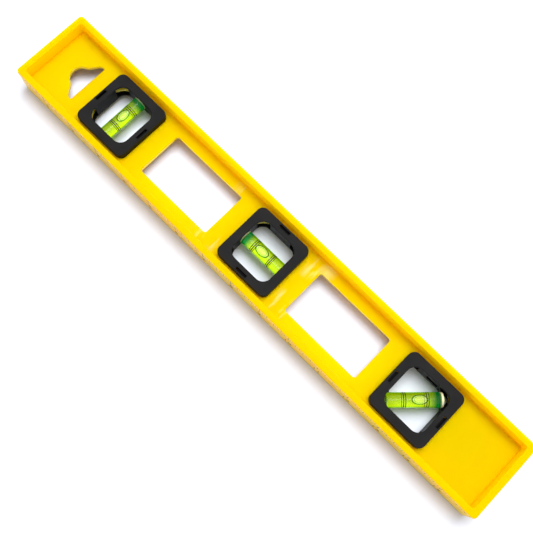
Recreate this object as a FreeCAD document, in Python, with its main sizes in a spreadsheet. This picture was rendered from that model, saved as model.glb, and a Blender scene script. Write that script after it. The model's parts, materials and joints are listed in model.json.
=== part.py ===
import FreeCAD, Part
import os
import Sketcher
from FreeCAD import Placement, Rotation, Vector

# A 400 mm class plastic spirit level, lying on its back face.
# X runs along the length from the hang-hole end to the 45 degree vial, Y across the width,
# Z up out of the front face. The origin is the middle of the back face's rectangle, at z = 0.

os.makedirs("parts", exist_ok=True)
doc = FreeCAD.newDocument("spirit_level")
sheet = doc.addObject("Spreadsheet::Sheet", "sizes")

SIZES = [
    ("body_length", 406, "overall length"),
    ("body_width", 58.5, "between the two measuring edges"),
    ("body_thick", 24, "front face to back face"),
    ("corner_radius", 2.6, "upright corners of the body"),
    ("rim_wall", 4.5, "flange and end wall thickness"),
    ("rim_inner_radius", 1.6, "inner corners of the rim"),
    ("rim_edge_radius", 0.45, "broken edges of the rim"),
    ("rim_foot_radius", 0.8, "fillet where the rim meets the web"),
    ("web_thick", 2.8, "web in the middle of the thickness"),
    ("station_pitch", 132.8, "centre vial to each outer vial"),
    ("window_length", 61, "hand window along the length"),
    ("window_width", 34, "hand window across the width"),
    ("window_radius", 1.8, "hand window corners"),
    ("window_centre", 66.5, "hand window centre from the middle"),
    ("hang_flat", 167.4, "straight side of the hang hole from the middle"),
    ("hang_half", 15.6, "half the length of the straight side"),
    ("hang_shoulder", 3.2, "how far each lobe runs out before it slopes"),
    ("hang_notch", 9.1, "straight side to the notch beside the bump"),
    ("hang_bump_centre", 7.1, "straight side to the centre of the bump"),
    ("hang_bump_radius", 7.8, "round bump that sits on the nail"),
    ("hang_lobe_round", 4.2, "rounding of each lobe's top"),
    ("hang_corner_round", 1.0, "rounding at the straight side"),
    ("hang_notch_round", 2.6, "rounding of the notch"),
    ("web_hole", 37.2, "square hole in the web at each station"),
    ("web_hole_radius", 13.2, "corners of that hole"),
    ("arm_notch_width", 9.4, "notch in the web for a snap arm"),
    ("arm_notch_reach", 20.9, "far side of the notch from the station centre"),
    ("bezel_size", 44, "outside of a bezel ring"),
    ("bezel_radius", 4.6, "outside corners of a bezel ring"),
    ("bezel_rise", 5.2, "bezel face above the web face"),
    ("bezel_wall", 1.3, "side walls of the ring"),
    ("bezel_plate", 1.6, "face plate of the ring"),
    ("bezel_edge", 0.5, "rounding of the ring's face edges"),
    ("lip_size", 31.8, "sight opening"),
    ("lip_radius", 6.4, "sight opening corners"),
    ("lip_small_radius", 2.2, "45 degree station: rear opening corners"),
    ("guide_wall", 1.2, "thin walls that stand in the web hole"),
    ("guide_long", 22, "guide wall length across the vial's ends"),
    ("guide_short", 18, "guide wall length along the vial"),
    ("guide_corner", 5.8, "45 degree station: guide wall half length beside the vial"),
    ("half_gap", 0.1, "parting gap between the two bezel halves"),
    ("latch_width", 8.8, "window in the 45 degree station's guide wall"),
    ("latch_rise", 2.5, "half height of that window"),
    ("slot_length", 8.9, "snap slot in the face plate"),
    ("slot_width", 2.0, "snap slot in the face plate"),
    ("slot_centre", 19.8, "snap slot from the station centre"),
    ("catch_near", 20.0, "catch ledge under the slot, near side from the centre"),
    ("catch_thick", 0.9, "catch ledge"),
    ("catch_drop", 3.1, "top of the catch ledge below the bezel face"),
    ("arm_centre", 19.3, "snap arm from the station centre"),
    ("arm_width", 8.0, "snap arm"),
    ("arm_thick", 1.1, "snap arm"),
    ("arm_nose", 0.45, "hook at the arm's tip"),
    ("arm_sink", 2.2, "arm tip below the bezel face"),
    ("nose_clear", 0.1, "hook above the catch ledge"),
    ("tube_radius", 4.9, "outside of a vial"),
    ("tube_half", 18.2, "half length of a plugged vial"),
    ("tube_chamfer", 0.3, "end chamfer"),
    ("bore_mouth", 15.2, "bore's plugged end from the vial's middle"),
    ("bore_blind", 17.2, "bore's closed end from the vial's middle"),
    ("bore_end_radius", 3.7, "bore at its ends"),
    ("bore_sag", 0.1, "how much wider the bore is in the middle"),
    ("cap_length", 2.5, "outer head of the plug"),
    ("cap_step", 0.6, "half of the head stands this much shorter"),
    ("plug_clear", 0.02, "plug spigot and liquid inside the bore"),
    ("seat_clear", 0.05, "vial in its seats"),
    ("seat_half", 6.6, "half width of a vial seat"),
    ("cradle_near", 16, "45 degree cradle, near side from the centre"),
    ("cradle_half", 7.5, "45 degree cradle, half width"),
    ("cradle_above", 1, "45 degree cradle above the vial axis"),
    ("ring_offset", 7.2, "ring mark from the vial's middle"),
    ("ring_gap", 1.36, "between the two lines of a ring mark"),
    ("ring_width", 0.5, "one line of a ring mark"),
    ("ring_depth", 0.07, "ring mark sunk into the tube"),
    ("bubble_half", 5.25, "half length of a bubble"),
    ("bubble_half_width", 2.9, "bubble ellipsoid across the vial"),
    ("bubble_half_depth", 2.0, "bubble ellipsoid down into the liquid"),
    ("bubble_lift", 3.0, "bubble ellipsoid centre above the vial axis"),
    ("bubble_skin", 3.5, "radius that the bubble's top follows"),
    ("bubble_clear", 0.06, "cavity in the liquid round the bubble"),
    ("plumb_bubble_at", 0.8, "plumb bubble from the middle, towards +Y"),
    ("level_bubble_at", 0.8, "level bubble from the middle, towards -X"),
    ("angle_bubble_at", 2.4, "45 degree bubble from the middle, up its vial"),
]

for row, (alias, value, meaning) in enumerate(SIZES, start=1):
    sheet.set(f"A{row}", meaning)
    sheet.set(f"B{row}", str(value))
    sheet.setAlias(f"B{row}", alias)
doc.recompute()

MIDDLE = "sizes.body_thick / 2"
WEB_FACE = "(sizes.body_thick + sizes.web_thick) / 2"
WEB_BACK = "(sizes.body_thick - sizes.web_thick) / 2"
RING_FACE = f"({WEB_FACE} + sizes.bezel_rise)"
RING_BACK = f"({WEB_BACK} - sizes.bezel_rise)"
PLATE_INSIDE = f"({RING_FACE} - sizes.bezel_plate)"
BACK_PLATE_INSIDE = f"({RING_BACK} + sizes.bezel_plate)"

UPRIGHT = Rotation(Vector(0, 0, 1), 0)
QUARTER = Rotation(Vector(0, 0, 1), 90)
HALF = Rotation(Vector(0, 0, 1), 180)
EIGHTH = Rotation(Vector(0, 0, 1), 45)


# ---------------------------------------------------------------- helpers

def size(alias):
    return float(sheet.get(alias))


def new_body(label):
    body = doc.addObject("PartDesign::Body", label)
    body.Label = label
    return body


def origin_plane(body, role):
    return next(item for item in body.Origin.OriginFeatures if item.Role == role)


def new_sketch(body, name, plane="XY_Plane", centre=("0", "0"), lift="0", turn=0):
    sketch = body.newObject("Sketcher::SketchObject", name)
    sketch.AttachmentSupport = [(origin_plane(body, plane), "")]
    sketch.MapMode = "FlatFace"
    sketch.AttachmentOffset = Placement(Vector(0, 0, 0), Rotation(Vector(0, 0, 1), turn))
    sketch.setExpression("AttachmentOffset.Base.x", centre[0])
    sketch.setExpression("AttachmentOffset.Base.y", centre[1])
    sketch.setExpression("AttachmentOffset.Base.z", lift)
    return sketch


def constrain(sketch, kind, *where, formula=None, start=1.0):
    if formula is None:
        return sketch.addConstraint(Sketcher.Constraint(kind, *where))
    index = sketch.addConstraint(Sketcher.Constraint(kind, *where, start))
    sketch.setExpression(f"Constraints[{index}]", formula)
    return index


def value_of(formula):
    probe = sheet.evalExpression(formula.replace("sizes.", ""))
    return float(getattr(probe, "Value", probe))


def draw_rounded(sketch, width, height, radius):
    """A centred rectangle with round corners; the four arcs share one radius."""
    half_w, half_h, r = value_of(width) / 2, value_of(height) / 2, value_of(radius)
    first = sketch.GeometryCount
    corners = [(1, 1, 0), (-1, 1, 90), (-1, -1, 180), (1, -1, 270)]
    for side_x, side_y, angle in corners:
        circle = Part.Circle(Vector(side_x * (half_w - r), side_y * (half_h - r), 0), Vector(0, 0, 1), r)
        low = FreeCAD.Units.Quantity(f"{angle} deg").getValueAs("rad").Value
        high = FreeCAD.Units.Quantity(f"{angle + 90} deg").getValueAs("rad").Value
        sketch.addGeometry(Part.ArcOfCircle(circle, low, high), False)
    ends = [((half_w - r, half_h), (r - half_w, half_h)), ((-half_w, half_h - r), (-half_w, r - half_h)),
            ((r - half_w, -half_h), (half_w - r, -half_h)), ((half_w, r - half_h), (half_w, half_h - r))]
    for begin, end in ends:
        sketch.addGeometry(Part.LineSegment(Vector(*begin, 0), Vector(*end, 0)), False)
    arcs = [first + i for i in range(4)]
    sides = [first + 4 + i for i in range(4)]
    for i in range(4):
        constrain(sketch, "Tangent", arcs[i], 2, sides[i], 1)
        constrain(sketch, "Tangent", sides[i], 2, arcs[(i + 1) % 4], 1)
    for i in (0, 2):
        constrain(sketch, "Horizontal", sides[i])
        constrain(sketch, "Vertical", sides[i + 1])
    for i in range(1, 4):
        constrain(sketch, "Equal", arcs[0], arcs[i])
    constrain(sketch, "Symmetric", arcs[0], 3, arcs[2], 3, -1, 1)
    constrain(sketch, "Radius", arcs[0], formula=radius, start=r)
    constrain(sketch, "DistanceX", sides[1], 1, sides[3], 1, formula=width, start=2 * half_w)
    constrain(sketch, "DistanceY", sides[2], 1, sides[0], 1, formula=height, start=2 * half_h)


def draw_rectangle(sketch, low_x, high_x, low_y, high_y):
    """An upright rectangle between four formulas, each measured from the sketch origin."""
    x0, x1, y0, y1 = (value_of(item) for item in (low_x, high_x, low_y, high_y))
    first = sketch.GeometryCount
    points = [(x0, y0), (x1, y0), (x1, y1), (x0, y1)]
    for i in range(4):
        line = Part.LineSegment(Vector(*points[i], 0), Vector(*points[(i + 1) % 4], 0))
        sketch.addGeometry(line, False)
    for i in range(4):
        constrain(sketch, "Coincident", first + i, 2, first + (i + 1) % 4, 1)
    for i in (0, 2):
        constrain(sketch, "Horizontal", first + i)
        constrain(sketch, "Vertical", first + i + 1)
    constrain(sketch, "DistanceX", -1, 1, first, 1, formula=low_x, start=x0)
    constrain(sketch, "DistanceX", -1, 1, first + 1, 1, formula=high_x, start=x1)
    constrain(sketch, "DistanceY", -1, 1, first, 1, formula=low_y, start=y0)
    constrain(sketch, "DistanceY", -1, 1, first + 2, 1, formula=high_y, start=y1)


def draw_circle(sketch, radius):
    r = value_of(radius)
    index = sketch.addGeometry(Part.Circle(Vector(0, 0, 0), Vector(0, 0, 1), r), False)
    constrain(sketch, "Coincident", index, 3, -1, 1)
    constrain(sketch, "Radius", index, formula=radius, start=r)


def finish_sketch(sketch):
    sketch.Visibility = False
    doc.recompute()
    if sketch.solve() != 0:
        raise RuntimeError(f"{sketch.Label}: does not solve")


def pad(body, sketch, name, length):
    finish_sketch(sketch)
    feature = body.newObject("PartDesign::Pad", name)
    feature.Profile = sketch
    feature.setExpression("Length", length)
    doc.recompute()
    return feature


def pocket(body, sketch, name, length, both_ways=False):
    """Cuts upwards from the sketch, or to both sides of it, and must take material away."""
    finish_sketch(sketch)
    before = body.Shape.Volume
    feature = body.newObject("PartDesign::Pocket", name)
    feature.Profile = sketch
    feature.setExpression("Length", length)
    feature.Reversed = not both_ways
    feature.Midplane = both_ways
    doc.recompute()
    if not body.Shape.Volume < before:
        raise RuntimeError(f"{body.Label}: {name} cuts nothing")
    return feature


def fillet(body, name, radius, keep):
    """Rounds every edge of the body's present tip that the test keeps."""
    tip = body.Tip
    names = [f"Edge{i}" for i, edge in enumerate(tip.Shape.Edges, start=1) if keep(edge)]
    if not names:
        raise RuntimeError(f"{body.Label}: {name} finds no edge")
    feature = body.newObject("PartDesign::Fillet", name)
    feature.Base = (tip, names)
    feature.setExpression("Radius", radius)
    doc.recompute()
    return feature


def level_at(edge, height):
    box = edge.BoundBox
    return abs(box.ZMin - height) < 1e-4 and abs(box.ZMax - height) < 1e-4


def upright(edge):
    box = edge.BoundBox
    return box.ZLength > 1e-3 and box.XLength < 1e-6 and box.YLength < 1e-6


def reach(edge):
    """Largest distance of the edge's ends from the X and Y axes."""
    return max(max(abs(vertex.X), abs(vertex.Y)) for vertex in edge.Vertexes)


# ---------------------------------------------------------------- the yellow body

def draw_hang_hole(sketch):
    """Straight side on the sketch's Y axis, a lobe at each end of it, a round bump opposite."""
    half, shoulder = size("hang_half"), size("hang_shoulder")
    centre, r, notch = size("hang_bump_centre"), size("hang_bump_radius"), size("hang_notch")
    notch_y = (r ** 2 - (notch - centre) ** 2) ** 0.5
    points = [(0, -half), (0, half), (-shoulder, half), (-notch, notch_y)]
    for begin, end in zip(points, points[1:]):
        sketch.addGeometry(Part.LineSegment(Vector(*begin, 0), Vector(*end, 0)), False)
    middle = Vector(-centre - r, 0, 0)
    bump = Part.Arc(Vector(-notch, notch_y, 0), middle, Vector(-notch, -notch_y, 0))
    sketch.addGeometry(bump, False)
    lower = [(-notch, -notch_y), (-shoulder, -half), (0, -half)]
    for begin, end in zip(lower, lower[1:]):
        sketch.addGeometry(Part.LineSegment(Vector(*begin, 0), Vector(*end, 0)), False)
    flat, top, slope, arc, slope_low, bottom = range(6)
    constrain(sketch, "Coincident", flat, 2, top, 1)
    constrain(sketch, "Coincident", top, 2, slope, 1)
    constrain(sketch, "Coincident", slope, 2, arc, 1)
    constrain(sketch, "Coincident", arc, 2, slope_low, 1)
    constrain(sketch, "Coincident", slope_low, 2, bottom, 1)
    constrain(sketch, "Coincident", bottom, 2, flat, 1)
    constrain(sketch, "Symmetric", flat, 1, flat, 2, -1)
    constrain(sketch, "PointOnObject", flat, 2, -2)
    constrain(sketch, "Symmetric", slope, 1, slope_low, 2, -1)
    constrain(sketch, "Symmetric", slope, 2, slope_low, 1, -1)
    constrain(sketch, "Horizontal", top)
    constrain(sketch, "DistanceY", -1, 1, flat, 2, formula="sizes.hang_half", start=half)
    constrain(sketch, "DistanceX", top, 2, -1, 1, formula="sizes.hang_shoulder", start=shoulder)
    constrain(sketch, "DistanceX", slope, 2, -1, 1, formula="sizes.hang_notch", start=notch)
    constrain(sketch, "DistanceX", arc, 3, -1, 1, formula="sizes.hang_bump_centre", start=centre)
    constrain(sketch, "Radius", arc, formula="sizes.hang_bump_radius", start=r)


def make_body():
    body = new_body("body")
    thick = size("body_thick")
    web_low, web_high = value_of(WEB_BACK), value_of(WEB_FACE)
    sketch = new_sketch(body, "beam_outline")
    draw_rounded(sketch, "sizes.body_length", "sizes.body_width", "sizes.corner_radius")
    pad(body, sketch, "beam", "sizes.body_thick")
    inner = ("sizes.body_length - 2 * sizes.rim_wall", "sizes.body_width - 2 * sizes.rim_wall")
    for name, lift in (("front_recess", WEB_FACE), ("back_recess", "0")):
        sketch = new_sketch(body, f"{name}_outline", lift=lift)
        draw_rounded(sketch, inner[0], inner[1], "sizes.rim_inner_radius")
        pocket(body, sketch, name, WEB_BACK)
    foot_half = size("body_width") / 2 - size("rim_wall")
    fillet(body, "rim_foot", "sizes.rim_foot_radius",
           lambda edge: (level_at(edge, web_low) or level_at(edge, web_high)) and reach(edge) > foot_half - 2)
    fillet(body, "rim_edges", "sizes.rim_edge_radius",
           lambda edge: level_at(edge, 0) or level_at(edge, thick))
    for side in (-1, 1):
        centre = (f"{side} * sizes.window_centre", "0")
        sketch = new_sketch(body, "window_outline", centre=centre, lift=WEB_BACK)
        draw_rounded(sketch, "sizes.window_length", "sizes.window_width", "sizes.window_radius")
        pocket(body, sketch, "hand_window", "sizes.web_thick")
    sketch = new_sketch(body, "hang_outline", centre=("-1 * sizes.hang_flat", "0"), lift=WEB_BACK)
    draw_hang_hole(sketch)
    pocket(body, sketch, "hang_hole", "sizes.web_thick")
    round_hang_hole(body)
    for step, turn in ((-1, 90), (0, 0), (1, 90)):
        centre = (f"{step} * sizes.station_pitch", "0")
        sketch = new_sketch(body, "station_outline", centre=centre, lift=WEB_BACK)
        draw_rounded(sketch, "sizes.web_hole", "sizes.web_hole", "sizes.web_hole_radius")
        pocket(body, sketch, "station_hole", "sizes.web_thick")
        sketch = new_sketch(body, "arm_notches_outline", centre=centre, lift=WEB_BACK, turn=turn)
        half = "sizes.arm_notch_width / 2"
        draw_rectangle(sketch, f"-1 * {half}", half, "-1 * sizes.arm_notch_reach", "sizes.arm_notch_reach")
        pocket(body, sketch, "arm_notches", "sizes.web_thick")
    return body


def round_hang_hole(body):
    flat = -size("hang_flat")
    spots = [
        ("hang_corners", "sizes.hang_corner_round", flat),
        ("hang_lobes", "sizes.hang_lobe_round", flat - size("hang_shoulder")),
        ("hang_notches", "sizes.hang_notch_round", flat - size("hang_notch")),
    ]
    for name, radius, at_x in spots:
        fillet(body, name, radius,
               lambda edge: upright(edge) and abs(edge.BoundBox.XMin - at_x) < 0.01)


# ---------------------------------------------------------------- the black bezels

def ring(body, base, hollow_from, opening_radius):
    """Square ring of the bezel: an outer wall and a face plate with the sight opening."""
    sketch = new_sketch(body, "ring_outline", lift=base)
    draw_rounded(sketch, "sizes.bezel_size", "sizes.bezel_size", "sizes.bezel_radius")
    draw_rounded(sketch, "sizes.lip_size", "sizes.lip_size", opening_radius)
    pad(body, sketch, "ring", "sizes.bezel_rise")
    sketch = new_sketch(body, "hollow_outline", lift=hollow_from)
    shell = "sizes.bezel_size - 2 * sizes.bezel_wall"
    draw_rounded(sketch, shell, shell, "sizes.bezel_radius - sizes.bezel_wall")
    pocket(body, sketch, "hollow", "sizes.bezel_rise - sizes.bezel_plate")


def block(body, name, spans, base, length, turn=0):
    sketch = new_sketch(body, f"{name}_outline", lift=base, turn=turn)
    for span in spans:
        draw_rectangle(sketch, *span)
    return pad(body, sketch, name, length)


def both_sides(low, high, across_low, across_high, along_x=True):
    """The same rectangle on the plus and the minus side of the centre, turned half round."""
    plus = (low, high, across_low, across_high)
    minus = (f"-1 * ({high})", f"-1 * ({low})", f"-1 * ({across_high})", f"-1 * ({across_low})")
    if along_x:
        return [plus, minus]
    return [item[2:] + item[:2] for item in (plus, minus)]


def guide_walls(body, base, length, angled):
    """Thin walls round the sight opening, from the plate to the parting plane, open at the corners."""
    near, far = "sizes.lip_size / 2", "sizes.lip_size / 2 + sizes.guide_wall"
    if angled:
        long_half = "sizes.guide_long / 2"
        x_walls = both_sides(near, far, "-1 * sizes.guide_corner", long_half)
        y_walls = both_sides(near, far, "-1 * sizes.guide_corner", long_half, along_x=False)
    else:
        x_walls = both_sides(near, far, "-1 * sizes.guide_long / 2", "sizes.guide_long / 2")
        y_walls = both_sides(near, far, "-1 * sizes.guide_short / 2", "sizes.guide_short / 2", along_x=False)
    block(body, "end_walls", x_walls, base, length)
    block(body, "side_walls", y_walls, base, length)


def seats(body, base, length):
    """Blocks at the vial's two ends, bored later."""
    walls = both_sides("sizes.lip_size / 2", "sizes.tube_half", "-1 * sizes.seat_half", "sizes.seat_half")
    block(body, "seats", walls, base, length)


def bore_seats(body):
    """The vial's own path through the seats, along the local X axis."""
    sketch = new_sketch(body, "seat_bore_outline", plane="YZ_Plane", centre=("0", MIDDLE))
    draw_circle(sketch, "sizes.tube_radius + sizes.seat_clear")
    pocket(body, sketch, "seat_bore", "2 * sizes.tube_half + 0.2", both_ways=True)


def bore_diagonal(body):
    """The 45 degree vial's path, from corner to corner of the bezel."""
    sketch = new_sketch(body, "diagonal_bore_outline", plane="XZ_Plane", centre=("0", MIDDLE))
    sketch.AttachmentOffset = Placement(sketch.AttachmentOffset.Base, Rotation(Vector(0, 1, 0), 45))
    draw_circle(sketch, "sizes.tube_radius + sizes.seat_clear")
    pocket(body, sketch, "diagonal_bore", "2 * sizes.tube_half + 0.4", both_ways=True)


def latch_windows(body, base):
    """Windows in the two end walls, half in each bezel, at the parting plane."""
    reach_out = "sizes.lip_size / 2 + sizes.guide_wall + 0.2"
    half = "sizes.latch_width / 2"
    sketch = new_sketch(body, "latch_outline", lift=base)
    draw_rectangle(sketch, f"-1 * ({reach_out})", reach_out, f"-1 * {half}", half)
    pocket(body, sketch, "latch_windows", "sizes.latch_rise")


def front_bezel(label, angled):
    body = new_body(label)
    ring(body, WEB_FACE, WEB_FACE, "sizes.lip_radius")
    base = f"{MIDDLE} + sizes.half_gap / 2"
    height = f"{PLATE_INSIDE} - ({base})"
    guide_walls(body, base, height, angled)
    if angled:
        latch_windows(body, base)
    else:
        seats(body, base, height)
        bore_seats(body)
    sketch = new_sketch(body, "slots_outline", lift=PLATE_INSIDE)
    half = "sizes.slot_width / 2"
    for span in both_sides(f"sizes.slot_centre - {half}", f"sizes.slot_centre + {half}",
                           "-1 * sizes.slot_length / 2", "sizes.slot_length / 2", along_x=False):
        draw_rectangle(sketch, *span)
    pocket(body, sketch, "slots", "sizes.bezel_plate")
    round_face(body, value_of(RING_FACE))
    shell = "sizes.bezel_size / 2 - sizes.bezel_wall / 2"
    block(body, "catches", both_sides("sizes.catch_near", shell, "-1 * sizes.arm_width / 2",
                                      "sizes.arm_width / 2", along_x=False),
          f"{RING_FACE} - sizes.catch_drop - sizes.catch_thick", "sizes.catch_thick")
    return body


def rear_bezel(label, angled):
    body = new_body(label)
    ring(body, RING_BACK, BACK_PLATE_INSIDE, "sizes.lip_small_radius" if angled else "sizes.lip_radius")
    height = f"{MIDDLE} - sizes.half_gap / 2 - {BACK_PLATE_INSIDE}"
    guide_walls(body, BACK_PLATE_INSIDE, height, angled)
    if angled:
        latch_windows(body, f"{MIDDLE} - sizes.half_gap / 2 - sizes.latch_rise")
        cradles(body)
    else:
        seats(body, BACK_PLATE_INSIDE, height)
        bore_seats(body)
    round_face(body, value_of(RING_BACK))
    snap_arms(body)
    return body


def cradles(body):
    """A corner web and an open U under each end of the 45 degree vial."""
    near = "sizes.cradle_near"
    across = ("-1 * sizes.cradle_half", "sizes.cradle_half")
    floor = both_sides(near, f"{near} + 3.4", *across)
    block(body, "corner_webs", floor, RING_BACK, "sizes.bezel_plate", turn=-45)
    rise = f"{MIDDLE} + sizes.cradle_above - {BACK_PLATE_INSIDE}"
    block(body, "cradles", both_sides(near, "sizes.tube_half", *across), BACK_PLATE_INSIDE, rise, turn=-45)
    bore_diagonal(body)


def snap_arms(body):
    """Two arms from the rear plate, through the web, hooked over the front bezel's catches."""
    arm = "sizes.arm_centre"
    inner, outer = f"{arm} - sizes.arm_thick / 2", f"{arm} + sizes.arm_thick / 2"
    across = ("-1 * sizes.arm_width / 2", "sizes.arm_width / 2")
    tip = f"{RING_FACE} - sizes.arm_sink"
    base = f"{RING_BACK} + sizes.bezel_plate / 2"
    block(body, "snap_arms", both_sides(inner, outer, *across, along_x=False), base, f"{tip} - ({base})")
    nose_base = f"{RING_FACE} - sizes.catch_drop + sizes.nose_clear"
    block(body, "snap_noses", both_sides(arm, f"{outer} + sizes.arm_nose", *across, along_x=False),
          nose_base, f"{tip} - ({nose_base})")


def round_face(body, height):
    outer = size("bezel_size") / 2
    inner = size("lip_size") / 2
    fillet(body, "face_edges", "sizes.bezel_edge",
           lambda edge: level_at(edge, height) and (reach(edge) > outer - 0.01 or reach(edge) < inner + 0.01))


# ---------------------------------------------------------------- the vials

RING_LINES = [f"{side} * sizes.ring_offset + {line} * sizes.ring_gap / 2"
              for side in (-1, 1) for line in (-1, 1)]
BORE_HALF = "((sizes.bore_mouth + sizes.bore_blind) / 2)"
BORE_RADIUS = f"({BORE_HALF} ^ 2 + sizes.bore_sag ^ 2) / (2 * sizes.bore_sag)"


def lathe(label, points, bulge=None, bulge_radius=None):
    """Turns an outline about the local X axis. Each point is a pair of formulas: along, radius.
    The edge that starts at point number bulge runs towards -X as an arc, widest in the middle."""
    body = new_body(label)
    sketch = new_sketch(body, "section", plane="XZ_Plane")
    spots = [(value_of(x), value_of(r)) for x, r in points]
    count = len(spots)
    for i in range(count):
        begin, end = Vector(*spots[i], 0), Vector(*spots[(i + 1) % count], 0)
        if i == bulge:
            top = Vector((begin.x + end.x) / 2, begin.y + size("bore_sag"), 0)
            sketch.addGeometry(Part.Arc(begin, top, end), False)
        else:
            sketch.addGeometry(Part.LineSegment(begin, end), False)
    for i in range(count):
        constrain(sketch, "Coincident", i, 2, (i + 1) % count, 1)
    for i in range(count):
        constrain(sketch, "DistanceX", -1, 1, i, 1, formula=points[i][0], start=spots[i][0])
        constrain(sketch, "DistanceY", -1, 1, i, 1, formula=points[i][1], start=spots[i][1])
    if bulge is not None:
        constrain(sketch, "Radius", bulge, formula=bulge_radius, start=value_of(bulge_radius))
    finish_sketch(sketch)
    turned = body.newObject("PartDesign::Revolution", "turned")
    turned.Profile = sketch
    turned.ReferenceAxis = (sketch, ["H_Axis"])
    turned.Angle = 360
    doc.recompute()
    return body


def vial_tube(label):
    end, radius, chamfer = "sizes.tube_half", "sizes.tube_radius", "sizes.tube_chamfer"
    mouth = f"{end} - sizes.cap_length"
    body = lathe(label, [
        (f"-1 * {end}", "0"),
        (f"-1 * {end}", f"{radius} - {chamfer}"),
        (f"-1 * {end} + {chamfer}", radius),
        (mouth, radius),
        (mouth, "sizes.bore_end_radius"),
        ("sizes.bore_mouth", "sizes.bore_end_radius"),
        ("-1 * sizes.bore_blind", "sizes.bore_end_radius"),
        ("-1 * sizes.bore_blind", "0"),
    ], bulge=5, bulge_radius=BORE_RADIUS)
    for middle in RING_LINES:
        sketch = new_sketch(body, "ring_groove_outline", plane="XZ_Plane")
        draw_rectangle(sketch, f"{middle} - sizes.ring_width / 2", f"{middle} + sizes.ring_width / 2",
                       f"{radius} - sizes.ring_depth", f"{radius} + 0.5")
        finish_sketch(sketch)
        before = body.Shape.Volume
        groove = body.newObject("PartDesign::Groove", "ring_groove")
        groove.Profile = sketch
        groove.ReferenceAxis = (sketch, ["H_Axis"])
        groove.Angle = 360
        doc.recompute()
        if not body.Shape.Volume < before:
            raise RuntimeError(f"{label}: ring groove cuts nothing")
    return body


def vial_plug(label):
    """Spigot in the bore and a round head; half of the head is a little shorter."""
    end, radius, chamfer = "sizes.tube_half", "sizes.tube_radius", "sizes.tube_chamfer"
    mouth = f"{end} - sizes.cap_length"
    spigot = "sizes.bore_end_radius - sizes.plug_clear"
    body = lathe(label, [
        ("sizes.bore_mouth", "0"),
        ("sizes.bore_mouth", spigot),
        (mouth, spigot),
        (mouth, radius),
        (f"{end} - {chamfer}", radius),
        (end, f"{radius} - {chamfer}"),
        (end, "0"),
    ])
    sketch = new_sketch(body, "step_outline", lift="-1 * sizes.tube_radius")
    draw_rectangle(sketch, f"{end} - sizes.cap_step", f"{end} + 0.2", "0", f"{radius} + 0.2")
    pocket(body, sketch, "head_step", "2 * sizes.tube_radius")
    return body


def ring_marks(label):
    """Bands that fill the grooves in the tube, two close together for each mark."""
    rings = []
    for number, middle in enumerate(RING_LINES):
        outer = doc.addObject("Part::Cylinder", f"{label}_outer_{number}")
        inner = doc.addObject("Part::Cylinder", f"{label}_inner_{number}")
        outer.setExpression("Radius", "sizes.tube_radius")
        inner.setExpression("Radius", "sizes.tube_radius - sizes.ring_depth")
        for piece, extra in ((outer, "0"), (inner, "0.2")):
            piece.setExpression("Height", f"sizes.ring_width + 2 * {extra}")
            piece.Placement.Rotation = Rotation(Vector(0, 1, 0), 90)
            piece.setExpression("Placement.Base.x",
                                f"{middle} - sizes.ring_width / 2 - {extra}")
        band = doc.addObject("Part::Cut", f"{label}_band_{number}")
        band.Base, band.Tool = outer, inner
        rings.append(band)
    marks = doc.addObject("Part::Compound", label)
    marks.Label = label
    marks.Links = rings
    doc.recompute()
    return marks


def bubble_solid(label, at, grow):
    """An ellipsoid clipped by the bore wall that it rises against."""
    drop = doc.addObject("Part::Ellipsoid", f"{label}_drop")
    drop.setExpression("Radius1", f"sizes.bubble_half_depth + {grow}")
    drop.setExpression("Radius2", f"sizes.bubble_half + {grow}")
    drop.setExpression("Radius3", f"sizes.bubble_half_width + {grow}")
    drop.setExpression("Placement.Base.x", at)
    drop.setExpression("Placement.Base.z", "sizes.bubble_lift")
    wall = doc.addObject("Part::Cylinder", f"{label}_wall")
    wall.setExpression("Radius", f"sizes.bubble_skin + {grow}")
    wall.setExpression("Height", "sizes.bore_mouth + sizes.bore_blind")
    wall.Placement.Rotation = Rotation(Vector(0, 1, 0), 90)
    wall.setExpression("Placement.Base.x", "-1 * sizes.bore_blind")
    common = doc.addObject("Part::Common", label)
    common.Label = label
    common.Base, common.Tool = drop, wall
    doc.recompute()
    return common


def vial_liquid(label, at):
    clear = "sizes.plug_clear"
    radius = f"sizes.bore_end_radius - {clear}"
    ends = [
        (f"sizes.bore_mouth - {clear}", "0"),
        (f"sizes.bore_mouth - {clear}", radius),
        (f"{clear} - sizes.bore_blind", radius),
        (f"{clear} - sizes.bore_blind", "0"),
    ]
    fill = lathe(f"{label}_fill", ends, bulge=1, bulge_radius=BORE_RADIUS)
    cavity = bubble_solid(f"{label}_cavity", at, "sizes.bubble_clear")
    liquid = doc.addObject("Part::Cut", label)
    liquid.Label = label
    liquid.Base, liquid.Tool = fill, cavity
    doc.recompute()
    return liquid


# ---------------------------------------------------------------- assembly

def place(piece, at_x, height, rotation):
    piece.Placement = Placement(Vector(0, 0, 0), rotation)
    piece.setExpression("Placement.Base.x", at_x)
    piece.setExpression("Placement.Base.z", height)
    return piece


STATIONS = [
    ("plumb", -1, QUARTER, QUARTER, False),
    ("level", 0, UPRIGHT, HALF, False),
    ("angle", 1, QUARTER, EIGHTH, True),
]

parts = [make_body()]
for name, step, bezel_turn, vial_turn, angled in STATIONS:
    at_x = f"{step} * sizes.station_pitch"
    bubble_at = f"sizes.{name}_bubble_at"
    for piece in (front_bezel(f"{name}_front_bezel", angled), rear_bezel(f"{name}_rear_bezel", angled)):
        parts.append(place(piece, at_x, "0", bezel_turn))
    for piece in (vial_tube(f"{name}_vial_tube"), vial_plug(f"{name}_vial_plug"),
                  ring_marks(f"{name}_ring_marks"), vial_liquid(f"{name}_liquid", bubble_at),
                  bubble_solid(f"{name}_bubble", bubble_at, "0")):
        parts.append(place(piece, at_x, MIDDLE, vial_turn))

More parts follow.
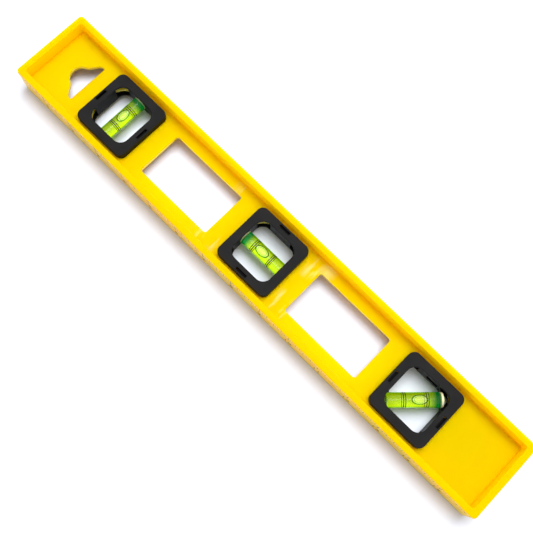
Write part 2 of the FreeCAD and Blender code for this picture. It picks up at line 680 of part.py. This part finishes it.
doc.recompute()
for item in doc.Objects:
    if "Invalid" in item.State or "Error" in item.State:
        raise RuntimeError(f"{item.Label}: {item.State}")
for piece in parts:
    if piece.Shape.isNull() or not piece.Shape.isValid() or not piece.Shape.Solids:
        raise RuntimeError(f"{piece.Label}: bad shape")
for piece in parts:
    piece.Shape.exportStep(f"parts/{piece.Label}.step")
    print(piece.Label, len(piece.Shape.Solids), round(piece.Shape.Volume, 2))
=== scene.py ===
import json
import math
import bmesh
import bpy
from mathutils import Matrix, Vector


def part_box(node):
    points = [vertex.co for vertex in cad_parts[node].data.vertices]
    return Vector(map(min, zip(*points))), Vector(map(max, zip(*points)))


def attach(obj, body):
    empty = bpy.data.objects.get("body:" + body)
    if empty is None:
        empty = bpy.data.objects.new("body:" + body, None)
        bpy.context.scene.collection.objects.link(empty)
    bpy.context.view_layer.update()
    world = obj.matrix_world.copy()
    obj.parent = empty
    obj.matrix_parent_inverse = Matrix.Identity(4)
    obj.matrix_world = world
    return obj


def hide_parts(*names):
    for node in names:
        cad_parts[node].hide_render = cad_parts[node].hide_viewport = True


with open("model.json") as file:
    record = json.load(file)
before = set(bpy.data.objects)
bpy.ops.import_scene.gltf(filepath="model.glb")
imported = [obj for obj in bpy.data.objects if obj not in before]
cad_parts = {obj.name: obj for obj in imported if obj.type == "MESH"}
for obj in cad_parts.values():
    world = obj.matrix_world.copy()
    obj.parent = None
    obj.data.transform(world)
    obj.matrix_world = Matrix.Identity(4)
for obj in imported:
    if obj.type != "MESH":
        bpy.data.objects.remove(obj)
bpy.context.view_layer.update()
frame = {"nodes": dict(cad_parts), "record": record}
scene = bpy.context.scene
scene.view_settings.view_transform = "Standard"
MM = 0.001
STATIONS = ("plumb", "level", "angle")
# half length and half width of a bubble seen from above, in millimetres
BUBBLE_HALF, BUBBLE_EDGE = 5.25, 2.65


# ---------------------------------------------------------------- materials

class Shader:
    """A node material that grows one node at a time."""

    def __init__(self, name, **settings):
        self.material = bpy.data.materials.new(name)
        self.material.use_nodes = True
        self.tree = self.material.node_tree
        self.principled = self.tree.nodes["Principled BSDF"]
        for socket, value in settings.items():
            self.principled.inputs[socket.replace("_", " ")].default_value = value
        self.place = self.tree.nodes.new("ShaderNodeTexCoord").outputs["Object"]

    def add(self, kind, inputs=None, **properties):
        node = self.tree.nodes.new(kind)
        for key, value in properties.items():
            setattr(node, key, value)
        for key, value in (inputs or {}).items():
            if isinstance(value, bpy.types.NodeSocket):
                self.tree.links.new(value, node.inputs[key])
            else:
                node.inputs[key].default_value = value
        return node

    def noise(self, scale, detail=3.0, stretch=None, roughness=0.5):
        vector = self.place
        if stretch:
            vector = self.add("ShaderNodeMapping", {"Vector": vector, "Scale": stretch}).outputs[0]
        settings = {"Vector": vector, "Scale": scale, "Detail": detail, "Roughness": roughness}
        return self.add("ShaderNodeTexNoise", settings).outputs["Fac"]

    def axis(self, name):
        return self.add("ShaderNodeSeparateXYZ", {"Vector": self.place}).outputs[name]

    def ramp(self, source, low, high, start=0.0, end=1.0):
        """source from low..high becomes start..end, held inside that range."""
        settings = {"Value": source, "From Min": low, "From Max": high, "To Min": start, "To Max": end}
        return self.add("ShaderNodeMapRange", settings).outputs["Result"]

    def mix(self, factor, first, second):
        node = self.add("ShaderNodeMix", data_type="RGBA")
        for socket, value in ((node.inputs[0], factor), (node.inputs[6], first), (node.inputs[7], second)):
            if isinstance(value, bpy.types.NodeSocket):
                self.tree.links.new(value, socket)
            else:
                socket.default_value = value
        return node.outputs[2]

    def math(self, operation, *values):
        node = self.add("ShaderNodeMath", operation=operation)
        for socket, value in zip(node.inputs, values):
            if isinstance(value, bpy.types.NodeSocket):
                self.tree.links.new(value, socket)
            else:
                socket.default_value = value
        return node.outputs[0]

    def bump(self, height, strength, distance, below=None):
        settings = {"Height": height, "Strength": strength, "Distance": distance}
        if below is not None:
            settings["Normal"] = below
        return self.add("ShaderNodeBump", settings).outputs["Normal"]

    def feed(self, **sources):
        for socket, source in sources.items():
            self.tree.links.new(source, self.principled.inputs[socket.replace("_", " ")])
        return self.material


# metres, each pair from where an effect is off to where it is full
RIM_SHADE_HEIGHT = (0.0225, 0.0235)
WALL_LIGHT_HEIGHT, WALL_LIGHT_ACROSS = (0.0146, 0.0155), (0.0288, 0.028)
SHEEN_START, SHEEN_STOP = (0.0235, 0.027), (0.046, 0.037)
SHEEN_INNER, SHEEN_OUTER = (0.006, 0.012), (0.025, 0.0235)
SHEEN_HEIGHT = (0.0165, 0.0145)
BEZEL_SHADE_SKIN = (0.6 * MM, 1.2 * MM)


def yellow_plastic():
    """Bright yellow, with painted light that lightens the inner wall faces and painted shade that deepens the
    yellow on top of the rims.
    """
    shader = Shader("body_yellow", Specular_IOR_Level=0.25, IOR=1.5, Specular_Tint=(1, 0.75, 0.02, 1),
                    Subsurface_Weight=0.85, Subsurface_Scale=0.018, Subsurface_Radius=(1.0, 0.8, 0.05))
    cloud = shader.noise(14, 4)
    fine = shader.noise(900, 3)
    sweep = shader.noise(30, 3, stretch=(0.35, 1.4, 1.0))
    colour = shader.mix(shader.ramp(cloud, 0.35, 0.7), (0.99, 0.495, 0.0, 1), (1.0, 0.515, 0.0, 1))
    colour = shader.mix(shader.ramp(fine, 0.62, 0.75, 0, 0.2), colour, (0.96, 0.465, 0.0, 1))
    height = shader.axis("Z")
    sides = shader.add("ShaderNodeVectorMath", {0: shader.place}, operation="ABSOLUTE").outputs[0]
    across = shader.add("ShaderNodeSeparateXYZ", {"Vector": sides}).outputs["Y"]
    # painted light: the inner wall faces are lightened against the shade they stand in
    wall_light = shader.math("MULTIPLY", shader.ramp(height, *WALL_LIGHT_HEIGHT), shader.ramp(across, *WALL_LIGHT_ACROSS))
    colour = shader.mix(wall_light, colour, (1.0, 0.6, 0.0, 1))
    # painted shade: a deeper yellow on top of the rims
    colour = shader.mix(shader.ramp(height, *RIM_SHADE_HEIGHT, 0, 0.8), colour, (0.99, 0.44, 0.0, 1))
    # painted sheen: pale reflected light in the web round the middle bezel
    sheen = splay(shader)
    colour = shader.mix(sheen, colour, (1.0, 0.8, 0.36, 1))
    rough = shader.ramp(sweep, 0.35, 0.7, 0.25, 0.4)
    normal = shader.bump(fine, 0.12, 0.00008)
    normal = shader.bump(sweep, 0.2, 0.0005, normal)
    return shader.feed(Base_Color=colour, Roughness=rough, Normal=normal)


def splay(shader):
    """Painted sheen: pale streaks of reflected light in the web, off the corners of the middle bezel."""
    low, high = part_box("level_front_bezel")
    middle = (low + high) / 2
    shift = {0: shader.place, 1: (middle.x, middle.y, 0)}
    offset = shader.add("ShaderNodeVectorMath", shift, operation="SUBTRACT").outputs[0]
    sides = shader.add("ShaderNodeVectorMath", {0: offset}, operation="ABSOLUTE").outputs[0]
    split = shader.add("ShaderNodeSeparateXYZ", {"Vector": sides})
    along, across = split.outputs["X"], split.outputs["Y"]
    gates = ((along, SHEEN_START), (along, SHEEN_STOP), (across, SHEEN_INNER), (across, SHEEN_OUTER),
             (shader.axis("Z"), SHEEN_HEIGHT))
    near = 1.0
    for source, reach in gates:
        near = shader.math("MULTIPLY", near, shader.ramp(source, *reach))
    fleck_noise = shader.noise(120, 5, stretch=(1.0, 0.2, 1.0), roughness=0.6)
    return shader.math("MULTIPLY", shader.ramp(fleck_noise, 0.52, 0.71, 0, 0.8), near)


def black_plastic():
    """Nearly black, with painted shade that makes it darker between the two face plates."""
    shader = Shader("bezel_black", Specular_IOR_Level=0.05, IOR=1.5)
    grain = shader.noise(2600, 2)
    cloud = shader.noise(60, 4)
    patches = shader.ramp(cloud, 0.35, 0.7)
    colour = shader.mix(patches, (0.0135, 0.0132, 0.0135, 1), (0.0185, 0.0182, 0.0185, 1))
    height = shader.axis("Z")
    front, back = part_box("level_front_bezel")[1].z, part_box("level_rear_bezel")[0].z
    thin, thick = BEZEL_SHADE_SKIN
    # painted shade on all of the bezel between its two face plates, where it lies in shadow
    inner_shade = shader.math("MULTIPLY", shader.ramp(height, front - thin, front - thick),
                         shader.ramp(height, back + thin, back + thick))
    colour = shader.mix(inner_shade, colour, (0.004, 0.004, 0.0035, 1))
    rough = shader.ramp(cloud, 0.3, 0.75, 0.36, 0.5)
    normal = shader.bump(grain, 0.3, 0.0001)
    return shader.feed(Base_Color=colour, Roughness=rough, Normal=normal)


def clear_acrylic():
    shader = Shader("vial_acrylic", IOR=1.47, Transmission_Weight=1.0)
    film = shader.noise(120, 3)
    colour = shader.mix(shader.ramp(film, 0.3, 0.7), (0.96, 1.0, 0.9, 1), (0.9, 0.98, 0.84, 1))
    return shader.feed(Base_Color=colour, Roughness=shader.ramp(film, 0.4, 0.8, 0.0, 0.03))


def wetted_acrylic():
    """The wall of the bore, left without any bending of light so that it doesn't show."""
    shader = Shader("vial_bore", IOR=1.0, Transmission_Weight=1.0, Specular_IOR_Level=0.0, Roughness=0.0)
    film = shader.noise(120, 3)
    return shader.feed(Base_Color=shader.mix(film, (0.97, 1.0, 0.93, 1), (0.93, 1.0, 0.88, 1)))


def green_spirit():
    """Yellow green with a faint glow that is painted light, partly standing for the liquid's fluorescence;
    painted shade deepens it at the sides, and it is deeper towards the plug and paler in its upper half.
    """
    shader = Shader("spirit_green", IOR=1.0, Transmission_Weight=1.0, Specular_IOR_Level=0.0, Roughness=0.0)
    # painted light: a faint glow, partly the liquid's own fluorescence
    shader.principled.inputs["Emission Color"].default_value = (0.6, 0.75, 0.0, 1)
    shader.principled.inputs["Emission Strength"].default_value = 0.12
    drift = shader.noise(160, 2)
    side = shader.add("ShaderNodeLayerWeight", {"Blend": 0.5}).outputs["Facing"]
    # painted shade: darker green where the surface turns away at the sides
    clear = shader.mix(shader.ramp(side, 0.2, 0.5), (0.9, 0.98, 0.35, 1), (0.2, 0.7, 0.05, 1))
    deep = shader.mix(shader.ramp(drift, 0.3, 0.7), (0.62, 0.85, 0.0005, 1), (0.7, 0.92, 0.0008, 1))
    # painted shade at the sides
    deep = shader.mix(shader.ramp(side, 0.2, 0.5), deep, (0.08, 0.45, 0.001, 1))
    colour = shader.mix(shader.ramp(shader.axis("Z"), -0.0005, 0.0005), deep, clear)
    colour = shader.mix(shader.ramp(shader.axis("X"), 0.0092, 0.0125), colour, (0.06, 0.5, 0.06, 1))
    return shader.feed(Base_Color=colour)


def deep_spirit():
    """The last of the liquid before the plug, deep green, with a faint glow that is painted light, partly
    standing for the liquid's fluorescence.
    """
    shader = Shader("spirit_deep", IOR=1.0, Transmission_Weight=1.0, Specular_IOR_Level=0.0, Roughness=0.0)
    # painted light: a faint glow, partly the liquid's own fluorescence
    shader.principled.inputs["Emission Color"].default_value = (0.02, 0.5, 0.1, 1)
    shader.principled.inputs["Emission Strength"].default_value = 0.1
    colour = shader.mix(shader.noise(160, 2), (0.01, 0.36, 0.06, 1), (0.02, 0.45, 0.09, 1))
    return shader.feed(Base_Color=colour)


def bubble_air():
    """Pale, with a faint glow that is painted light, and a thinner line of painted shade within its outline.
    """
    shader = Shader("bubble_air", IOR=1.0, Transmission_Weight=1.0, Specular_IOR_Level=0.0, Roughness=0.0)
    # painted light: the bubble glows faintly, though it is no lamp
    shader.principled.inputs["Emission Color"].default_value = (0.75, 0.8, 0.45, 1)
    shader.principled.inputs["Emission Strength"].default_value = 0.25
    film = shader.noise(300, 2)
    out = bubble_reach(shader)
    # painted shade: a thin dark line within the outline
    line = shader.math("MULTIPLY", shader.ramp(out, 0.56, 0.62), shader.ramp(out, 0.72, 0.66))
    pale = shader.mix(film, (0.97, 1.0, 0.88, 1), (1, 1, 0.94, 1))
    return shader.feed(Base_Color=shader.mix(shader.math("MULTIPLY", line, 0.8), pale, (0.05, 0.3, 0.03, 1)))


def bubble_outline():
    # painted shade: the dark rim that bent light gives the edge of a real bubble
    shader = Shader("bubble_outline", IOR=1.0, Transmission_Weight=1.0, Specular_IOR_Level=0.0, Roughness=0.0)
    dark = shader.mix(shader.noise(300, 2), (0.02, 0.24, 0.04, 1), (0.03, 0.3, 0.06, 1))
    return shader.feed(Base_Color=dark)


def bubble_reach(shader):
    """How far out in the bubble a point is, seen from above: 0 in the middle, 1 at its edge."""
    share = {0: shader.place, 1: (1 / (BUBBLE_HALF * MM), 1 / (BUBBLE_EDGE * MM), 0)}
    spot = shader.add("ShaderNodeVectorMath", share, operation="MULTIPLY").outputs[0]
    return shader.add("ShaderNodeVectorMath", {0: spot}, operation="LENGTH").outputs["Value"]


def ring_ink():
    shader = Shader("ring_ink", Roughness=0.5)
    speck = shader.noise(3000, 2)
    colour = shader.mix(speck, (0.01, 0.03, 0.006, 1), (0.025, 0.07, 0.012, 1))
    return shader.feed(Base_Color=colour)


def plug_plastic():
    shader = Shader("plug_cream", Subsurface_Weight=0.3, Subsurface_Scale=0.002)
    cloud = shader.noise(500, 3)
    colour = shader.mix(cloud, (0.8, 0.75, 0.5, 1), (0.62, 0.6, 0.3, 1))
    rough = shader.ramp(cloud, 0.3, 0.7, 0.3, 0.5)
    return shader.feed(Base_Color=colour, Roughness=rough, Normal=shader.bump(cloud, 0.3, 0.0002))


def scale_ink():
    shader = Shader("scale_ink", Roughness=0.55)
    wear = shader.noise(1500, 4)
    colour = shader.mix(shader.ramp(wear, 0.4, 0.7), (0.14, 0.085, 0.03, 1), (0.4, 0.24, 0.05, 1))
    return shader.feed(Base_Color=colour, Roughness=shader.ramp(wear, 0.3, 0.7, 0.45, 0.7))


def floor_paper():
    shader = Shader("floor_paper", Roughness=0.9, Specular_IOR_Level=0.1)
    cloud = shader.noise(3, 3)
    colour = shader.mix(cloud, (0.8, 0.845, 0.945, 1), (0.82, 0.865, 0.965, 1))
    return shader.feed(Base_Color=colour)


LOOKS = {
    "body": yellow_plastic(), "bezel": black_plastic(), "vial": clear_acrylic(), "plug": plug_plastic(),
    "ring": ring_ink(), "spirit": green_spirit(), "bubble": bubble_air(),
}
BORE_LOOK, OUTLINE_LOOK, DEEP_LOOK = wetted_acrylic(), bubble_outline(), deep_spirit()
SLOT_OF = {item["node"]: item["material_slot"] for item in frame["record"]["subparts"]}
for node, item in frame["nodes"].items():
    item.data.materials.clear()
    item.data.materials.append(LOOKS[SLOT_OF[node]])


# ---------------------------------------------------------------- mesh helpers

def piece(name, mesh, material, body, place=None):
    """A new object in the assembly; its mesh is in its own coordinates, and place puts it in the frame."""
    item = bpy.data.objects.new(name, mesh)
    scene.collection.objects.link(item)
    mesh.materials.append(material)
    item.matrix_world = place or Matrix.Identity(4)
    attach(item, body)
    return item


SHARP = math.radians(35)
TURN_STEPS = 96


def finish_mesh(name, shape):
    """Smooth faces, with creases kept sharp."""
    bmesh.ops.recalc_face_normals(shape, faces=shape.faces)
    for face in shape.faces:
        face.smooth = True
    for edge in shape.edges:
        edge.smooth = len(edge.link_faces) == 2 and edge.calc_face_angle() < SHARP
    mesh = bpy.data.meshes.new(name)
    shape.to_mesh(mesh)
    shape.free()
    return mesh


def strip_face(first, second, i, steps):
    """The corners of face i between two rows; a row of one corner is a tip."""
    j = (i + 1) % steps
    corners = (first[i % len(first)], first[j % len(first)],
               second[j % len(second)], second[i % len(second)])
    return list(dict.fromkeys(corners))


def turned_mesh(name, profile):
    """Turns an outline of (along, radius) pairs, in millimetres, about X."""
    shape = bmesh.new()
    rows = []
    for along, radius in ((along * MM, radius * MM) for along, radius in profile):
        if radius < 1e-9:
            rows.append([shape.verts.new((along, 0, 0))])
            continue
        angles = [2 * math.pi * i / TURN_STEPS for i in range(TURN_STEPS)]
        rows.append([shape.verts.new((along, radius * math.cos(a), radius * math.sin(a))) for a in angles])
    for first, second in zip(rows, rows[1:]):
        for i in range(TURN_STEPS):
            corners = strip_face(first, second, i, TURN_STEPS)
            if len(corners) > 2:
                shape.faces.new(corners)
    return finish_mesh(name, shape)


# ---------------------------------------------------------------- vials

# degrees about Z that turn a vial's plug end from +X; all other sizes here are in millimetres
VIAL_TURN = {"plumb": 90, "level": 180, "angle": 45}
TUBE_HALF, TUBE_RADIUS = 18.2, 4.9
MOUTH, BORE_MOUTH, BORE_BLIND, BORE_END, BORE_SAG = 15.7, 15.2, 17.2, 3.7, 0.1
BORE_MIDDLE, BORE_HALF = (BORE_MOUTH - BORE_BLIND) / 2, (BORE_MOUTH + BORE_BLIND) / 2
RING_AT, RING_GAP, RING_WIDTH, RING_DEPTH = 7.2, 1.36, 0.5, 0.07
END_ROUND, BORE_ROUND, MOUTH_ROUND, HAIR = 1.1, 0.9, 0.25, 0.01
OUTLINE_REACH, DEEP_FROM, BORE_LIMIT = 0.84, 12.7, 0.85


def arc(centre, radius, start, end, count=8):
    """Points round a centre, in degrees from +along towards +radius."""
    angles = [math.radians(start + (end - start) * i / count) for i in range(count + 1)]
    return [(centre[0] + radius * math.cos(a), centre[1] + radius * math.sin(a)) for a in angles]


def bore_radius(along):
    return BORE_END + BORE_SAG * (1 - ((along - BORE_MIDDLE) / BORE_HALF) ** 2)


def bore_line(start, end, extra=0.0):
    count = 24
    spots = [start + (end - start) * i / count for i in range(count + 1)]
    return [(along, bore_radius(along) + extra) for along in spots]


def tube_profile():
    """Closed end at -TUBE_HALF, mouth at +MOUTH, then back along the bore."""
    points = [(-TUBE_HALF, 0)]
    points += arc((END_ROUND - TUBE_HALF, TUBE_RADIUS - END_ROUND), END_ROUND, 180, 90)
    for middle in sorted(mark + line * RING_GAP / 2 for mark in (-RING_AT, RING_AT) for line in (-1, 1)):
        low, high = middle - RING_WIDTH / 2 - HAIR, middle + RING_WIDTH / 2 + HAIR
        floor_radius = TUBE_RADIUS - RING_DEPTH - HAIR
        points += [(low, TUBE_RADIUS), (low, floor_radius), (high, floor_radius), (high, TUBE_RADIUS)]
    points += arc((MOUTH - MOUTH_ROUND, TUBE_RADIUS - MOUTH_ROUND), MOUTH_ROUND, 90, 0, 4)
    start = BORE_ROUND - BORE_BLIND
    points += [(MOUTH, BORE_END)] + bore_line(BORE_MOUTH, start)
    tip = arc((start, bore_radius(start) - BORE_ROUND), BORE_ROUND, 90, 180)
    return points + tip[1:] + [(-BORE_BLIND, 0)]


def spirit_profile():
    """Fills the bore up to the plug, a hair clear of its wall, with no cavity for the bubble."""
    start, end = BORE_ROUND - BORE_BLIND, BORE_MOUTH - HAIR
    points = [(HAIR - BORE_BLIND, 0)]
    points += arc((start, bore_radius(start) - BORE_ROUND), BORE_ROUND - HAIR, 180, 90)
    return points + bore_line(start, end, -HAIR)[1:] + [(end, 0)]


def plug_profile():
    """A shank in the mouth of the bore and a round cap with softened edges."""
    points = [(BORE_MOUTH, 0), (BORE_MOUTH, BORE_END - 0.15), (BORE_MOUTH + 0.12, BORE_END - 0.03)]
    points += [(MOUTH + 0.01, BORE_END - 0.03), (MOUTH + 0.01, TUBE_RADIUS - 0.2)]
    points += [(MOUTH + 0.15, TUBE_RADIUS - 0.02)]
    points += arc((TUBE_HALF - 1.5, TUBE_RADIUS - 0.62), 0.6, 90, 30, 4)
    points += [(TUBE_HALF - 0.55, 3.1)] + arc((TUBE_HALF - 0.5, 1.9), 0.5, 60, 0, 4)
    return points + [(TUBE_HALF - 0.25, 1.5), (TUBE_HALF - 0.25, 0)]


def bubble_mesh(name):
    """A flattened drop whose top follows the wall of the bore; its origin is on the bore's axis."""
    half_width, half_depth, lift, skin = 2.9, 2.0, 3.0, 3.5
    rows, columns = 72, 72
    shape = bmesh.new()
    rings = []
    for i in range(rows + 1):
        polar = math.pi * i / rows
        ring = []
        for j in range(columns):
            around = 2 * math.pi * j / columns
            x = BUBBLE_HALF * math.cos(polar)
            y = half_width * math.sin(polar) * math.cos(around)
            z = lift + half_depth * math.sin(polar) * math.sin(around)
            squeeze = min(1.0, skin / math.hypot(y, z))
            ring.append((x * MM, y * squeeze * MM, z * squeeze * MM))
            if i in (0, rows):
                break
        rings.append([shape.verts.new(corner) for corner in ring])
    for first, second in zip(rings, rings[1:]):
        for j in range(columns):
            shape.faces.new(strip_face(first, second, j, columns))
    return finish_mesh(name, shape)


def line_bubble(mesh):
    """Gives the rim of the bubble the material of its outline, which is painted shade."""
    mesh.materials.append(OUTLINE_LOOK)
    for face in mesh.polygons:
        reach = math.hypot(face.center.x / (BUBBLE_HALF * MM), face.center.y / (BUBBLE_EDGE * MM))
        face.material_index = int(reach > OUTLINE_REACH)


def line_plug_end(mesh):
    """Gives the liquid next to the plug its own material."""
    mesh.materials.append(DEEP_LOOK)
    for face in mesh.polygons:
        face.material_index = int(face.center.x > DEEP_FROM * MM)


def line_bore(mesh):
    """Gives the faces of the bore their own material; all of them look towards the axis."""
    mesh.materials.append(BORE_LOOK)
    for face in mesh.polygons:
        outward = Vector((0, face.center.y, face.center.z)).dot(face.normal)
        if outward < 0 and face.center.yz.length < TUBE_RADIUS * MM * BORE_LIMIT:
            face.material_index = 1


def make_vial(name):
    """The tube, liquid and plug of one vial, centred on its ring marks, and its bubble."""
    low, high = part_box(f"{name}_ring_marks")
    centre = (low + high) / 2
    turn = Matrix.Rotation(math.radians(VIAL_TURN[name]), 4, "Z")
    for kind, profile, slot, node in (("tube", tube_profile(), "vial", "vial_tube"),
                                      ("spirit", spirit_profile(), "spirit", "liquid"),
                                      ("plug", plug_profile(), "plug", "vial_plug")):
        label = f"{name}_{kind}_shape"
        mesh = turned_mesh(label, profile)
        item = piece(label, mesh, LOOKS[slot], "frame", Matrix.Translation(centre) @ turn)
        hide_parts(f"{name}_{node}")
        if kind == "tube":
            line_bore(mesh)
        elif kind == "spirit":
            line_plug_end(mesh)
    low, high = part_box(f"{name}_bubble")
    spot = Vector(((low.x + high.x) / 2, (low.y + high.y) / 2, centre.z))
    label = f"{name}_air"
    place = Matrix.Translation(spot) @ turn
    mesh = bubble_mesh(label)
    item = piece(label, mesh, LOOKS["bubble"], f"{name}_float", place)
    line_bubble(mesh)
    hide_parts(f"{name}_bubble")


for station in STATIONS:
    make_vial(station)


# ---------------------------------------------------------------- printed scale

INCH = 0.0254
PARTS = 16
# every so many parts of an inch: length and width of the tick, in millimetres
TICKS = ((16, 9.0, 0.4), (8, 6.5, 0.3), (4, 5.0, 0.3), (2, 3.6, 0.25), (1, 2.4, 0.2))
INK_DEPTH, TICK_MARGIN = 0.06 * MM, 0.6 * MM
DIGIT_SIZE, DIGIT_FOOT, DIGIT_MARGIN = 7 * MM, 5.5 * MM, 4 * MM


def scale_marks():
    """Ticks of an inch scale, hanging from the front edge of the ruled side."""
    low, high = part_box("body")
    shape = bmesh.new()
    top = high.z - TICK_MARGIN
    for i in range(1, int((high.x - low.x) / INCH * PARTS)):
        x = low.x + i * INCH / PARTS
        length, width = next(tick[1:] for tick in TICKS if i % tick[0] == 0)
        size = Vector((width * MM, 2 * INK_DEPTH, length * MM))
        place = Matrix.Translation((x, low.y, top - size.z / 2)) @ Matrix.Diagonal((*size, 1))
        bmesh.ops.create_cube(shape, size=1, matrix=place)
    mesh = bpy.data.meshes.new("scale_marks")
    shape.to_mesh(mesh)
    shape.free()
    return piece("scale_marks", mesh, scale_ink(), "frame")


def scale_digits():
    """Plain numbers below the inch ticks."""
    low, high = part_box("body")
    ink = scale_ink()
    target = bmesh.new()
    for number in range(1, int((high.x - low.x) / INCH) + 1):
        x = low.x + number * INCH
        if x > high.x - DIGIT_MARGIN:
            continue
        curve = bpy.data.curves.new("digit", "FONT")
        curve.body = str(number)
        curve.size = DIGIT_SIZE
        curve.align_x = "CENTER"
        curve.extrude = INK_DEPTH
        curve.resolution_u = 4
        holder = bpy.data.objects.new("digit", curve)
        scene.collection.objects.link(holder)
        holder.rotation_euler = (math.pi / 2, 0, 0)
        holder.location = (x, low.y, low.z + DIGIT_FOOT)
        bpy.context.view_layer.update()
        mesh = bpy.data.meshes.new_from_object(holder)
        mesh.transform(holder.matrix_world)
        target.from_mesh(mesh)
        bpy.data.objects.remove(holder)
    mesh = bpy.data.meshes.new("scale_digits")
    target.to_mesh(mesh)
    target.free()
    return piece("scale_digits", mesh, ink, "frame")


scale_marks()
scale_digits()


# ---------------------------------------------------------------- stage, light and camera

FLOOR_CELLS, FLOOR_SIZE, WORLD_LIGHT = 16, 40.0, 0.5
floor_mesh = bpy.data.meshes.new("floor")
grid = bmesh.new()
bmesh.ops.create_grid(grid, x_segments=FLOOR_CELLS, y_segments=FLOOR_CELLS, size=FLOOR_SIZE)
grid.to_mesh(floor_mesh)
grid.free()
floor = bpy.data.objects.new("floor", floor_mesh)
scene.collection.objects.link(floor)
floor_mesh.materials.append(floor_paper())

world = bpy.data.worlds.new("studio")
scene.world = world
world.use_nodes = True
world.node_tree.nodes["Background"].inputs["Color"].default_value = (1, 1, 1, 1)
world.node_tree.nodes["Background"].inputs["Strength"].default_value = WORLD_LIGHT


def softbox(name, place, width, height, power, mirrored):
    """A lamp panel facing the object; only a mirrored one shows in shiny and clear surfaces."""
    light = bpy.data.lights.new(name, "AREA")
    light.shape = "RECTANGLE"
    light.size = width
    light.size_y = height
    light.energy = power
    holder = bpy.data.objects.new(name, light)
    scene.collection.objects.link(holder)
    holder.location = place
    holder.rotation_euler = Vector(place).to_track_quat("Z", "Y").to_euler()
    holder.visible_glossy = mirrored
    holder.visible_transmission = mirrored


softbox("key", (-0.06, 0.43, 1.26), 0.8, 0.8, 18.8, False)
softbox("panel", (0.0, 0.1, 1.4), 0.8, 0.8, 4.5, True)

SENSOR, LENS, NEAREST = 36, 50.204, 0.01
CAMERA_PLACE = (0.07885, -0.08877, 0.47842)
RIGHT = Vector((0.71072396, 0.70322329, 0.01866705))
UP = Vector((-0.6876404, 0.68888776, 0.22931272))
BACK = RIGHT.cross(UP)
camera_data = bpy.data.cameras.new("camera")
camera_data.sensor_width = SENSOR
camera_data.lens = LENS
camera = bpy.data.objects.new("camera", camera_data)
scene.collection.objects.link(camera)
turn = Matrix((RIGHT, UP, BACK)).transposed().to_4x4()
camera.matrix_world = Matrix.Translation(CAMERA_PLACE) @ turn
camera_data.clip_start = NEAREST
scene.camera = camera
